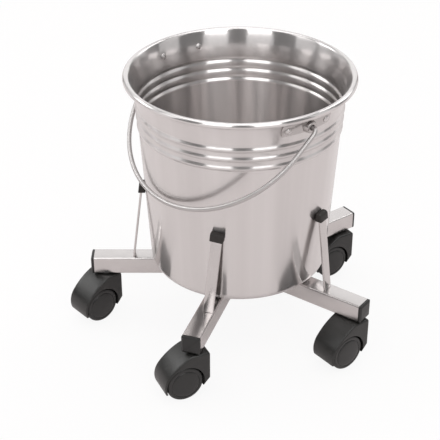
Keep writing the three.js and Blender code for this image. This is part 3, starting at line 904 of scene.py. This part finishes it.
class KICK_OT_pins(bpy.types.Operator):
    """Turn the stems and axles of the casters"""
    bl_idname = "kick.pins"
    bl_label = "Stems and axles"

    def execute(self, context):
        size, tube = settings("caster"), settings("frame")
        plated = drawn_steel("plated_pins", settings("colours").pin, rough=0.3, stretch=(90, 90, 400))
        shank, deep, point, ring, edge = 4.8 * MM, 18 * MM, 0.5 * MM, 10 * MM, 0.3 * MM
        head, crown, head_side, head_top = 2.4 * MM, 1.6 * MM, 2.4 * MM, 3 * MM
        foot = tube.top - tube.tube
        collar, above = foot - GAP, foot + TUBE_WALL + GAP
        under, low = collar - COLLAR, foot - COLLAR - 2 * GAP - deep
        stem = turned("stem_pin", [
            (0, low), (shank - point, low), (shank, low + point), (shank, under),
            (ring - edge, under), (ring, under + edge), (ring, collar - edge), (ring - edge, collar),
            (shank, collar), (shank, above), (shank + head, above), (shank + crown, above + head_side),
            (0, above + head_top)], steps=40)
        smooth(stem)
        repeat(stem, on_arms("stem", caster_place), "frame", "pin_steel", plated)
        half, radius, edge = 13.4 * MM, 3 * MM, 0.4 * MM
        axle = turned("axle_pin", [
            (0, -half), (radius - edge, -half), (radius, edge - half), (radius, half - edge),
            (radius - edge, half), (0, half)], steps=32)
        smooth(axle)
        across = Matrix.Translation((size.trail, 0, size.wheel)) @ Matrix.Rotation(math.pi / 2, 4, "X")
        repeat(axle, on_arms("axle", lambda number: caster_place(number) @ across),
               own_caster, "pin_steel", plated)
        return {"FINISHED"}


class KICK_OT_hoods(bpy.types.Operator):
    """Draw a hood's side, give it its width and hollow out the wheel bays"""
    bl_idname = "kick.hoods"
    bl_label = "Caster hoods"

    def execute(self, context):
        size, tube = settings("caster"), settings("frame")
        nylon = moulded("hood_nylon", settings("colours").nylon, rough=0.33, grain=520.0, depth=0.05 * MM)
        back_end, back_join = -20, 40
        reach, brow, cut, edge, room, bay = 20 * MM, 4 * MM, 9 * MM, 4.2 * MM, 1.2 * MM, 40 * MM
        top = tube.top - tube.tube - 2 * GAP - COLLAR
        back = arc(size.trail, size.wheel, size.hood, back_end, back_join, 16)
        end, neck, slant = Vector(back[-1]), Vector((size.front, top)), math.radians(back_join)
        pull = end + reach * Vector((-math.sin(slant), math.cos(slant)))
        sweep = [tuple((1 - t) ** 2 * end + 2 * t * (1 - t) * pull + t * t * neck)
                 for t in (i / 12 for i in range(1, 13))]
        front = [(-size.front, size.skirt), (cut - size.front, size.wheel - cut)]
        forehead = arc(brow - size.front, top - brow, brow, 90, 180, 6)
        hood = slab("hood_shell", front + back + sweep + forehead, 2 * size.half)
        choose(hood, "EDGE", lambda middle, way: abs(abs(middle.y) - size.half) < 10 * WELD)
        bpy.ops.mesh.bevel(offset=edge, segments=7, affect="EDGES", clamp_overlap=True)
        close_up()
        done()
        for side in (-1, 1):
            fresh()
            bpy.ops.mesh.primitive_cylinder_add(
                vertices=96, radius=size.wheel + room, depth=bay, rotation=(math.pi / 2, 0, 0),
                location=(size.trail, side * (size.web / 2 + bay / 2), size.wheel))
            combine(hood, bpy.context.object, "DIFFERENCE")
        smooth(hood, 30)
        repeat(hood, on_arms("hood", caster_place), own_caster, "black_nylon", nylon)
        return {"FINISHED"}


class KICK_OT_wheels(bpy.types.Operator):
    """Turn a wheel with a rounded tread, a domed side and a cup behind it"""
    bl_idname = "kick.wheels"
    bl_label = "Wheels"

    def execute(self, context):
        size = settings("caster")
        nylon = moulded("wheel_nylon", settings("colours").tread, rough=0.34, grain=480.0, depth=0.06 * MM)
        r, inner, outer, dome = size.wheel, size.web / 2 + 0.6 * MM, 18.6 * MM, 20.4 * MM
        bore, bore_end, boss, cup, cup_floor = 3.25 * MM, 14 * MM, 8 * MM, 20.5 * MM, 11 * MM
        edge, shoulder, groove, swell = 0.8 * MM, 3.2 * MM, 0.25 * MM, 0.1 * MM
        disc, dip, brim, foot = 0.74 * r, 0.77 * r, 0.79 * r, outer + groove
        behind = [(0, bore_end), (bore, bore_end), (bore, inner), (boss, inner), (boss, cup_floor),
                  (cup, cup_floor), (cup, inner), (r - edge, inner), (r, inner + edge)]
        tread = arc(r - shoulder, outer - shoulder, shoulder, 0, 90, 8)
        ring = [(brim, outer + swell), (dip, outer - groove), (disc, foot)]
        crown = [(disc * math.cos(a), foot + (dome - foot) * math.sin(a)) for a in quarter(10)[1:]]
        wheel = turned("wheel_disc", behind + tread + ring + crown, steps=72)
        smooth(wheel, 40)
        spots = []
        for n in range(1, ARMS + 1):
            hub = caster_place(n) @ Matrix.Translation((size.trail, 0, size.wheel))
            spots.append((f"wheel_{n}_left", hub @ Matrix.Rotation(-math.pi / 2, 4, "X")))
            spots.append((f"wheel_{n}_right", hub @ Matrix.Rotation(math.pi / 2, 4, "X")))
        repeat(wheel, spots, lambda node: node, "wheel_nylon", nylon)
        return {"FINISHED"}


def lay_floor():
    """Paper that is white to the eye and gleams in steel, with a painted shadow in that gleam under the
    pail, and takes shadows.
    """
    fresh()
    bpy.ops.mesh.primitive_plane_add(size=FLOOR_SIZE, location=(0, 0, 0))
    floor = bpy.context.object
    floor.name = "studio_floor"
    paper = bpy.data.materials.new("studio_paper")
    paper.use_nodes = True
    tree = paper.node_tree
    tree.nodes.clear()
    start = Wire(tree)
    seen = start.node("ShaderNodeLightPath", output="Is Camera Ray")
    glossy, through = seen.beside("Is Glossy Ray"), seen.beside("Is Transmission Ray")
    diffuse = start.node("ShaderNodeBsdfDiffuse", None, {"Color": (*PAPER, 1.0)})
    glow = start.node("ShaderNodeEmission", None, {"Color": glossy.tint(WHITE, PAPER_GLEAM)})
    place = start.node("ShaderNodeTexCoord", output="Object")
    away = start.node("ShaderNodeVectorMath", {"operation": "DISTANCE"}, {0: place, 1: AXIS_3D}, "Value")
    # Painted shadow: less glow for glossy and transmission rays near the pail's axis.
    gleam_with_painted_shadow = away.between(SHADE_NEAR, SHADE_FAR, GLEAM_NEAR, GLEAM_FAR)
    share = seen * FLOOR_GLOW + glossy * gleam_with_painted_shadow + through * gleam_with_painted_shadow
    mixed = start.node("ShaderNodeMixShader", None, {0: share, 1: diffuse, 2: glow})
    out = tree.nodes.new("ShaderNodeOutputMaterial")
    tree.links.new(mixed.socket, out.inputs["Surface"])
    floor.data.materials.append(paper)


def fill_air():
    """White all round to the eye, and a faint light on the part."""
    world = bpy.data.worlds.new("studio_air")
    bpy.context.scene.world = world
    world.use_nodes = True
    back = world.node_tree.nodes["Background"]
    back.inputs["Color"].default_value = (*WHITE, 1.0)
    seen = Wire(world.node_tree).node("ShaderNodeLightPath", output="Is Camera Ray")
    glossy, through = seen.beside("Is Glossy Ray"), seen.beside("Is Transmission Ray")
    level = AIR_LIGHT + seen * AIR_SEEN + glossy * AIR_GLEAM + through * AIR_SEEN
    seen.tree.links.new(level.socket, back.inputs["Strength"])


def soft_box(name, place, aim, width, height, power):
    fresh()
    bpy.ops.object.light_add(type="AREA", location=place)
    lamp = bpy.context.object
    lamp.name = name
    lamp.data.shape = "RECTANGLE"
    lamp.data.size = width
    lamp.data.size_y = height
    lamp.data.energy = power
    lamp.rotation_euler = (Vector(aim) - Vector(place)).to_track_quat("-Z", "Y").to_euler()


def hang_lamps():
    """A ring of tall soft boxes, each dim below and bright above, and the single ones."""
    for turn, wide, glow in BOXES:
        way = math.radians(turn)
        x, y = BOX_RING * math.sin(way), -BOX_RING * math.cos(way)
        lower, upper = (BOX_FOOT, BOX_SPLIT, min(glow, BOX_DIM)), (BOX_SPLIT, BOX_TOP, glow)
        for part, (foot, head, bright) in (("low", lower), ("high", upper)):
            tall = head - foot
            soft_box(f"soft_box_{turn}_{part}", (x, y, foot + tall / 2), (0, 0, BOX_AIM), wide, tall,
                     bright * math.pi * wide * tall)
    for lamp in LAMPS:
        soft_box(*lamp)


def set_camera():
    camera = bpy.data.cameras.new("photo_camera")
    camera.sensor_width = SENSOR
    camera.lens = FOCAL * SENSOR / PICTURE
    eye = bpy.data.objects.new("photo_camera", camera)
    bpy.context.scene.collection.objects.link(eye)
    eye.location = (PAIL_AXIS.x + EYE_SIDE, PAIL_AXIS.y + EYE_BACK, EYE_HEIGHT)
    eye.rotation_euler = (math.pi / 2 - EYE_TILT, 0, 0)
    bpy.context.scene.camera = eye


class KICK_OT_stage(bpy.types.Operator):
    """Lay the floor, hang the lamps and set the camera"""
    bl_idname = "kick.stage"
    bl_label = "Stage"

    def execute(self, context):
        context.scene.view_settings.view_transform = "Standard"
        lay_floor()
        fill_air()
        hang_lamps()
        set_camera()
        return {"FINISHED"}


class KICK_PT_panel(bpy.types.Panel):
    """Sizes, colours and pieces of the kick bucket"""
    bl_idname = "KICK_PT_panel"
    bl_label = "Kick Bucket"
    bl_space_type = "VIEW_3D"
    bl_region_type = "UI"
    bl_category = "Kick Bucket"

    def draw(self, context):
        for name in GROUPS:
            box = self.layout.box()
            box.label(text=name.title())
            group = settings(name)
            for key in group.bl_rna.properties.keys():
                if key not in {"rna_type", "name"}:
                    box.prop(group, key)
        for operator in OPERATORS:
            self.layout.operator(operator.bl_idname)


GROUPS = {
    "pail": KickBucketPail,
    "bail": KickBucketBail,
    "frame": KickBucketFrame,
    "caster": KickBucketCaster,
    "colours": KickBucketColours,
}
OPERATORS = (
    KICK_OT_stage, KICK_OT_pail, KICK_OT_ears, KICK_OT_rivets, KICK_OT_bail, KICK_OT_star, KICK_OT_straps,
    KICK_OT_caps, KICK_OT_plugs, KICK_OT_pins, KICK_OT_hoods, KICK_OT_wheels)


def register():
    for cls in (*GROUPS.values(), *OPERATORS, KICK_PT_panel):
        bpy.utils.register_class(cls)
    for name, group in GROUPS.items():
        setattr(bpy.types.Scene, "kick_bucket_" + name, bpy.props.PointerProperty(type=group))


def unregister():
    for name in GROUPS:
        delattr(bpy.types.Scene, "kick_bucket_" + name)
    for cls in (KICK_PT_panel, *reversed(OPERATORS), *reversed(GROUPS.values())):
        bpy.utils.unregister_class(cls)


def main():
    register()
    for operator in OPERATORS:
        family, name = operator.bl_idname.split(".")
        getattr(getattr(bpy.ops, family), name)()


if __name__ == "__main__":
    main()
